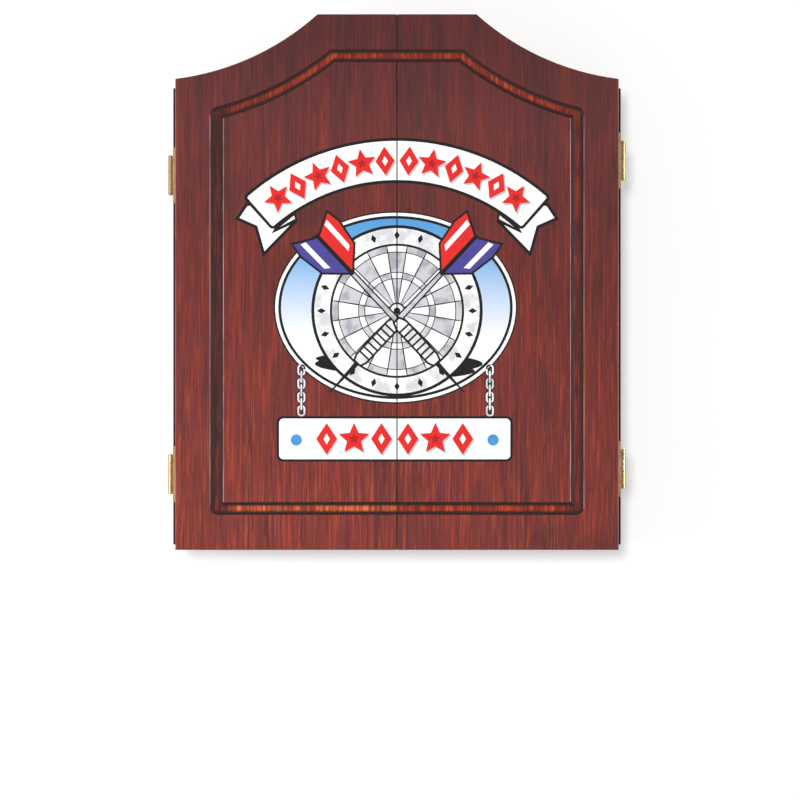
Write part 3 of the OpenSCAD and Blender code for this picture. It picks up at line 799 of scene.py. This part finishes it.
def add_ribbon(sheet):
    tails = [TAIL, TAIL_FOLD, TAIL_LIGHT]
    for tail, fold, light in (tails, [mirrored(shape) for shape in tails]):
        sheet.outlined(1, "black", "white", tail, OUTLINE)
        sheet.add(3, "black", fold)
        sheet.add(4, "white", light)
    sheet.add(5, "black", ribbon_shape())
    sheet.add(6, "white", ribbon_shape(-OUTLINE))
    for i in range(6):
        for side in (-1, 1):
            lean = side * (3.3 + 6.3 * i)
            a = math.radians(90 - lean)
            centre = (ORNAMENT_ORBIT * math.cos(a), RIBBON_CENTRE[1] + ORNAMENT_ORBIT * math.sin(a))
            add_ornament(sheet, i, centre, -lean, 33.0)


def add_oval(sheet):
    for layer, (depth, colour) in enumerate(OVAL_RINGS):
        sheet.add(layer + 1, colour, ellipse(OVAL_CENTRE, OVAL_ACROSS - depth, OVAL_UP - depth))
    for layer, (centre, across, up) in enumerate(GROUND_SHADOW):
        sheet.add(layer + 5, "black", ellipse(centre, across, up, 60))


def add_roundel(sheet):
    """A plain drawn dart board in white, grey and black."""
    sheet.outlined(8, "black", "paper", disc(ROUNDEL_CENTRE, ROUNDEL_R), OUTLINE)
    sheet.add(10, "black", disc(ROUNDEL_CENTRE, 76.0))
    for i in range(SECTORS):
        start = 90 - 9 + 18 * i
        for near, far, swapped in ROUNDEL_BANDS:
            gap = math.degrees(ROUNDEL_LINE / 2 / max(near, 20.0))
            wedge = arc(ROUNDEL_CENTRE, far, start + gap / 2, start + 18 - gap / 2, 4)
            wedge += arc(ROUNDEL_CENTRE, near, start + 18 - gap, start + gap, 4)
            sheet.add(11, "white" if (i % 2 == 1) != swapped else "mid_grey", wedge)
        mark = math.radians(start + 9)
        spot = (ROUNDEL_CENTRE[0] + 85.5 * math.cos(mark), ROUNDEL_CENTRE[1] + 85.5 * math.sin(mark))
        sheet.add(10, "black", turned(diamond(6.0, 10.5), math.degrees(mark) - 90, spot))
    sheet.add(11, "paper", disc(ROUNDEL_CENTRE, 7.6, 36))
    sheet.add(12, "black", disc(ROUNDEL_CENTRE, 3.8, 24))


def add_dart(sheet, layer, side):
    """One dart, drawn along a line from its tip, with a black outline round each part."""
    line = Vector(DART_TAIL) - Vector(DART_TIP)
    length = line.length
    lean = math.degrees(math.atan2(line.y, line.x))

    def place(points):
        shape = turned(points, lean, DART_TIP)
        return shape if side > 0 else mirrored(shape)

    def under(points):
        return [(x, -z) for x, z in reversed(points)]

    point = [(0.0, -0.6), (46.0, -2.8), (46.0, 2.8), (0.0, 0.6)]
    barrel = [(44.0, -5.4), (52.0, -8.6), (104.0, -8.6), (113.0, -5.0), (113.0, 5.0), (104.0, 8.6),
              (52.0, 8.6), (44.0, 5.4)]
    shaft = [(110.0, -4.2), (196.0, -3.2), (196.0, 3.2), (110.0, 4.2)]
    wing = [(182.0, 0.0), (207.0, -26.0), (238.0, -31.0), (length + 2, -28.0), (length - 12, -3.0),
            (length - 12, 0.0)]
    stripe = [(206.0, -14.0), (210.0, -19.5), (length - 7, -20.5), (length - 9, -14.5)]
    sheet.add(layer, "black", place(point))
    sheet.outlined(layer, "black", "mid_grey", place(shaft), 1.7)
    sheet.outlined(layer + 1, "black", "paper", place(barrel), 2.3)
    for at in range(57, 104, 7):
        sheet.add(layer + 3, "black", place(box_shape((at, 0.0), 2.2, 13.0)))
    sheet.outlined(layer + 2, "black", "purple", place(wing), 2.3)
    sheet.outlined(layer + 2, "black", "red", place(under(wing)), 2.3)
    sheet.add(layer + 4, "white", place(stripe))
    sheet.add(layer + 4, "white", place(under(stripe)))


def add_chains(sheet):
    """Two chains that seem to carry the plate: links seen from the front, and links seen edge-on."""
    for x in CHAIN_X:
        for i in range(4):
            z = CHAIN_TOP - LINK_PITCH * i
            link = box_shape((x, z), LINK_W + 2 * CHAIN_OUTLINE, LINK_H + 2 * CHAIN_OUTLINE, 4.8)
            sheet.ring(1, "black", link, LINK_WIRE + 2 * CHAIN_OUTLINE)
            sheet.ring(2, "chain", inset(link, CHAIN_OUTLINE), LINK_WIRE)
            if i < 3:
                middle = (x, z - LINK_PITCH / 2)
                sheet.add(3, "black", box_shape(middle, 3.6, 15.2, 1.7))
                sheet.add(4, "chain", box_shape(middle, 2.0, 13.6, 0.9))


def add_plate(sheet):
    sheet.outlined(5, "black", "white", box_shape(PLATE_CENTRE, PLATE_W, PLATE_H, 7.4), 2.6)
    for side in (-1, 1):
        sheet.add(7, "dot_blue", disc((PLATE_CENTRE[0] + side * 111.3, PLATE_CENTRE[1] - 1.2), 6.4, 40))
        for i in range(3):
            add_ornament(sheet, i, (PLATE_CENTRE[0] + side * (15.0 + 31.0 * i), PLATE_CENTRE[1]), 0.0, 36.0)


def emblem():
    """The screen print on the doors' fronts, one half on each door."""
    colours = {
        "white": [(251, 251, 251)],
        "paper": [(247, 247, 247), (214, 214, 218)],
        "mid_grey": [(206, 207, 212), (168, 169, 176)],
        "shadow": [(196, 198, 204)],
        "chain": [(240, 240, 242), (198, 198, 204)],
        "black": [(22, 20, 20)],
        "red": [(228, 40, 36)],
        "dark_red": [(176, 24, 26)],
        "purple": [(76, 70, 150)],
        "dot_blue": [(74, 154, 214)],
    }
    inks = {name: ink("ink_" + name, *pair) for name, pair in colours.items()}
    inks["sky"] = sky_ink()
    sheet = Print(EMBLEM_LAYER, inks)
    add_chains(sheet)
    add_ribbon(sheet)
    add_oval(sheet)
    add_roundel(sheet)
    add_dart(sheet, 13, 1)
    add_dart(sheet, 18, -1)
    add_plate(sheet)
    for hand, side in (("left", -1), ("right", 1)):
        sheet.build(hand + "_emblem", DOOR_FRONT, -1, Vector(), hand + "_door", "door_wood", side)


# ---- Score boards ----

DIGIT_LINES = {
    "1": [[(-0.14, 0.34), (0.04, 0.5), (0.04, -0.5)]],
    "2": [arc((0.0, 0.24), 0.26, 165, -30, 8) + [(-0.27, -0.5), (0.29, -0.5)]],
    "3": [arc((0.0, 0.25), 0.25, 150, -75, 8) + arc((0.0, -0.23), 0.27, 80, -150, 9)],
    "4": [[(0.12, -0.5), (0.12, 0.5), (-0.29, -0.22)], [(-0.31, -0.22), (0.31, -0.22)]],
    "5": [[(0.25, 0.5), (-0.2, 0.5), (-0.24, 0.06)] + arc((0.0, -0.18), 0.32, 125, -145, 10)],
    "6": [[(0.14, 0.5), (-0.06, 0.28), (-0.2, 0.04)]],
    "7": [[(-0.28, 0.5), (0.28, 0.5), (-0.06, -0.5)]],
    "9": [[(-0.14, -0.5), (0.06, -0.28), (0.2, -0.04)]],
}
DIGIT_LOOPS = {
    "0": [ellipse((0.0, 0.0), 0.27, 0.5, 24)],
    "6": [ellipse((0.0, -0.22), 0.28, 0.28, 18)],
    "8": [ellipse((0.0, 0.26), 0.23, 0.24, 18), ellipse((0.0, -0.24), 0.27, 0.26, 18)],
    "9": [ellipse((0.0, 0.22), 0.28, 0.28, 18)],
}


def notched_frame(width, height):
    """A rectangle whose corners are scooped in."""
    x, z = width / 2, height / 2
    corners = [(x, -z, 180, 90), (x, z, 270, 180), (-x, z, 360, 270), (-x, -z, 90, 0)]
    return [p for cx, cz, start, end in corners for p in arc((cx, cz), FRAME_NOTCH, start, end, 6)]


def add_frames(sheet):
    """Two thin frames inside the board's edge, and a crest at the top."""
    size = (SCORE_HIGH - SCORE_LOW) / MM
    for depth, stroke in ((17.0, 0.8), (20.0, 0.5)):
        sheet.ring(1, "line", notched_frame(size.x - 2 * depth, size.z - 2 * depth), stroke)
    add_crest(sheet, (0.0, 156.0), 4.2)


def add_crest(sheet, centre, size):
    """A small round target between two sprigs."""
    for radius in (size, size * 0.55):
        sheet.ring(1, "line", disc(centre, radius, 32), size * 0.14)
    for side in (-1, 1):
        for i in range(3):
            leaf = ellipse((0.0, 0.0), size * 0.42, size * 0.13, 12)
            spot = (centre[0] + side * size * (1.5 + 0.5 * i), centre[1] - size * 0.3 * i)
            sheet.add(1, "line", turned(leaf, side * (28 - 10 * i), spot))


def add_digit(sheet, digit, centre, height):
    """One digit, its open strokes as bars and its bowls as rings, each a layer above the last."""
    shapes = [[stroke_outline(line, DIGIT_STROKE)] for line in DIGIT_LINES.get(digit, [])]
    for loop in DIGIT_LOOPS.get(digit, []):
        shapes.append([inset(loop, -DIGIT_STROKE / 2), inset(loop, DIGIT_STROKE / 2)])
    for above, shape in enumerate(shapes):
        placed = [[(centre[0] + x * height, centre[1] + z * height) for x, z in loop] for loop in shape]
        sheet.add(1 + above, "line", *placed)


def add_figures(sheet, rows, centre, height, pitch, spread=0.0):
    """Rows of numbers under one another. Each row is a list of numbers, set side by side."""
    for r, row in enumerate(rows):
        for c, number in enumerate(row):
            x = centre[0] + spread * (c - (len(row) - 1) / 2)
            z = centre[1] - pitch * r
            figure = str(number)
            for i, digit in enumerate(figure):
                shift = DIGIT_ADVANCE * (i - (len(figure) - 1) / 2)
                add_digit(sheet, digit, (x + shift * height, z), height)


def build_score_print(sheet, hand):
    """Lays a sheet on the left or right score board."""
    low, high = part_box(hand + "_score_board")
    sheet.build(hand + "_score_print", SCORE_HIGH.y, 1, (low + high) / 2, hand + "_door", "chalk_board")


def left_score():
    """A board for keeping score: a heading, four ruled columns, and the numbers from 20 to 15."""
    sheet = Print(SCORE_LAYER, {"line": ink("score_line", (205, 216, 210), (160, 182, 172))})
    add_frames(sheet)
    for v, half in ((147.0, 52.0), (141.0, 38.0), (128.0, 66.0), (112.0, 66.0)):
        sheet.line(1, "line", (-half, v), (half, v), SCORE_LINE)
    for u in (-44.0, -15.0, 15.0, 44.0):
        sheet.line(1, "line", (u, 111.0), (u, -98.0), SCORE_LINE)
    add_figures(sheet, [[n] for n in range(20, 14, -1)], (0.0, 96.0), 13.0, 29.0)
    for radius in (5.4, 2.0):
        sheet.ring(1, "line", disc((0.0, -78.0), radius, 24), 0.9)
    add_crest(sheet, (0.0, -130.0), 9.0)
    sheet.line(1, "line", (-46.0, -152.0), (46.0, -152.0), SCORE_LINE)
    build_score_print(sheet, "left")


def finish_rows(start):
    """Rows of figures for a chart: a score and how it splits into two throws."""
    rows = []
    for score in range(start, start - CHART_ROWS, -1):
        first = min(60, max(score // 3, 20))
        rows.append([score, first, score - first])
    return rows


def right_score():
    """A chart of figures: a heading and two ruled tables side by side."""
    sheet = Print(SCORE_LAYER, {"line": ink("chart_line", (186, 206, 200), (150, 176, 168))})
    add_frames(sheet)
    for v, half in ((148.0, 52.0), (136.0, 66.0), (-146.0, 66.0)):
        sheet.line(1, "line", (-half, v), (half, v), CHART_LINE)
    for u in (-66.0, -42.0, -22.0, 0.0, 24.0, 44.0, 66.0):
        sheet.line(2, "line", (u, 136.0), (u, -146.0), COLUMN_LINE)
    for across, start in ((-33.0, 150), (33.0, 120)):
        add_figures(sheet, finish_rows(start), (across, 129.0), 5.2, 10.8, 21.5)
    build_score_print(sheet, "right")


# ---- The dart board ----

def bristle_face():
    """The bristle disc as one closed mesh, with a face for each coloured cell."""
    black, cream, red, green = range(4)
    materials = [
        bristle("bristle_black", (27, 28, 25)),
        bristle("bristle_cream", (228, 194, 142), 0.75),
        bristle("bristle_red", (196, 44, 40)),
        bristle("bristle_green", (38, 144, 74)),
    ]
    low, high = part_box("bristle_disc")
    radii = [r * MM for r in (BULL_R, OUTER_BULL_R, *TRIPLE, *DOUBLE)] + [high.x]
    spokes = SECTORS * STEPS_A_SECTOR
    built = bmesh.new()

    def circle(radius, y):
        angles = [math.radians(-9 + 360 * k / spokes) for k in range(spokes)]
        return [built.verts.new((radius * math.sin(a), y, radius * math.cos(a))) for a in angles]

    def band(inner, outer, pair):
        """Joins two circles. The pair is the colours of the even and the odd sectors."""
        for k in range(spokes):
            n = (k + 1) % spokes
            face = built.faces.new([inner[k], outer[k], outer[n], inner[n]])
            face.material_index = pair[k // STEPS_A_SECTOR % 2]

    middle = built.verts.new((0.0, low.y, 0.0))
    rings = [circle(radius, low.y) for radius in radii]
    for k in range(spokes):
        face = built.faces.new([middle, rings[0][k], rings[0][(k + 1) % spokes]])
        face.material_index = red
    wedges, beds, rim = (black, cream), (red, green), (black, black)
    for pair, inner, outer in zip([(green, green), wedges, beds, wedges, beds, rim], rings, rings[1:]):
        band(inner, outer, pair)
    hole_end = circle(SCREW_HOLE_R, high.y - SCREW_HOLE_DEEP)
    backs = [rings[-1], circle(radii[-1], high.y), circle(SCREW_HOLE_R, high.y), hole_end]
    for inner, outer in zip(backs, backs[1:]):
        band(inner, outer, rim)
    built.faces.new(hole_end).material_index = black
    bmesh.ops.recalc_face_normals(built, faces=built.faces)
    piece = new_piece("bristle_face", built, *materials)
    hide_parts("bristle_disc")
    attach(piece, "dart_board")


def numerals(material):
    """Wire figures that stand on the number ring. Those below the middle are turned to read upright."""
    curve = bpy.data.curves.new("numeral_wire", "CURVE")
    curve.dimensions = "3D"
    curve.bevel_depth = NUMERAL_WIRE_R * MM
    curve.bevel_resolution = 2
    curve.use_fill_caps = True
    for position, number in enumerate(CLOCKWISE):
        clock = position * 360 / SECTORS
        figure = str(number)
        for i, digit in enumerate(figure):
            shift = NUMERAL_ADVANCE * (i - (len(figure) - 1) / 2)
            loops = DIGIT_LOOPS.get(digit, [])
            for line in DIGIT_LINES.get(digit, []) + loops:
                wire = [((x * NUMERAL_NARROWED + shift) * NUMERAL_H, z * NUMERAL_H) for x, z in line]
                wire = turned(wire, 180 if 90 < clock < 270 else 0, (0.0, NUMERAL_ORBIT))
                wire = turned(wire, -clock)
                spline = curve.splines.new("POLY")
                spline.use_cyclic_u = line in loops
                spline.points.add(len(wire) - 1)
                for point, (x, z) in zip(spline.points, wire):
                    point.co = (x * MM, RING_Y, z * MM, 1.0)
    holder = add_object("numeral_wire", curve)
    mesh = bpy.data.meshes.new_from_object(holder.evaluated_get(bpy.context.evaluated_depsgraph_get()))
    bpy.data.objects.remove(holder)
    built = bmesh.new()
    built.from_mesh(mesh)
    bmesh.ops.remove_doubles(built, verts=built.verts, dist=0.01 * MM)
    for face in built.faces:
        face.smooth = True
    piece = new_piece("ring_numerals", built, material)
    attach(piece, "number_ring")


# ---- Stage, light and camera ----

def stage_paint():
    """Pale matt paint that can't be seen from behind, so that the wall never hides the object's back."""
    shade = Shade("stage_paint")
    tone = shade.scaled((0.55, 0.55, 0.55), shade.remap(shade.noise(0.4), 0.3, 0.7, 1.0, 0.99))
    matt = shade.add("ShaderNodeBsdfDiffuse", {"Color": tone}).outputs[0]
    glow = shade.add("ShaderNodeEmission", {"Color": tone, "Strength": STAGE_GLOW}).outputs[0]
    shown = shade.add("ShaderNodeAddShader", {0: matt, 1: glow}).outputs[0]
    clear = shade.add("ShaderNodeBsdfTransparent").outputs[0]
    behind = shade.add("ShaderNodeNewGeometry").outputs["Backfacing"]
    return shade.output(shade.add("ShaderNodeMixShader", {0: behind, 1: shown, 2: clear}).outputs[0])


def stage_plane(name, corners, material):
    built = bmesh.new()
    built.faces.new([built.verts.new(corner) for corner in corners])
    plane = new_piece(name, built, material)
    for ray in ("visible_diffuse", "visible_glossy", "visible_shadow", "visible_transmission"):
        setattr(plane, ray, False)


def stage():
    pale = stage_paint()
    r, y, z = STAGE_REACH, WALL_Y, FLOOR_Z
    stage_plane("wall", [(-r, y, z), (r, y, z), (r, y, r), (-r, y, r)], pale)
    stage_plane("floor", [(-r, -r, z), (r, -r, z), (r, r, z), (-r, r, z)], pale)


def add_lamp(name, kind, power, direction):
    """A lamp that shines in a direction."""
    data = bpy.data.lights.new(name, kind)
    data.energy = power
    lamp = add_object(name, data)
    lamp.rotation_euler = Vector(direction).to_track_quat("-Z", "Y").to_euler()
    return lamp


def area_light(name, place, target, size, power, glint_only=False):
    """A soft lamp that looks at target. glint_only makes it show in reflections and nowhere else."""
    lamp = add_lamp(name, "AREA", power, Vector(target) - Vector(place))
    lamp.location = place
    lamp.data.size = size
    lamp.visible_diffuse = not glint_only


def lights():
    world = bpy.data.worlds.new("studio")
    world.use_nodes = True
    background = world.node_tree.nodes["Background"]
    background.inputs["Color"].default_value = (1.0, 1.0, 1.0, 1.0)
    background.inputs["Strength"].default_value = 0.36
    bpy.context.scene.world = world
    key = add_lamp("key", "SUN", 2.05, (0.13, 1.0, -0.13))
    key.data.angle = math.radians(10)
    key.visible_glossy = False
    area_light("left_glow", (-1.1, -0.95, -0.25), (-0.1, -0.1, 0.0), 0.5, 5.5)
    area_light("right_glint", (1.2, -0.9, 0.0), (0.2, -0.1, 0.0), 0.4, 10.0, glint_only=True)
    area_light("back_fill", (0.8, 2.6, 1.2), (0.0, 0.0, 0.0), 2.0, 30.0)


def camera():
    data = bpy.data.cameras.new("camera")
    data.lens = data.sensor_width * VIEW_DISTANCE / VIEW_WIDTH
    eye = add_object("camera", data)
    eye.location = (VIEW_X, DOOR_FRONT - VIEW_DISTANCE, VIEW_Z)
    eye.rotation_euler = (math.pi / 2, 0.0, 0.0)
    bpy.context.scene.camera = eye


ring_wire = metal("ring_wire", (190, 192, 194), (222, 224, 226), 0.28, 0.6)
soft_rubber = rubber()
finish_nodes(ring_wire, soft_rubber)
seam_strip(soft_rubber)
emblem()
left_score()
right_score()
bristle_face()
numerals(ring_wire)
stage()
lights()
camera()
bpy.context.scene.view_settings.view_transform = "Standard"
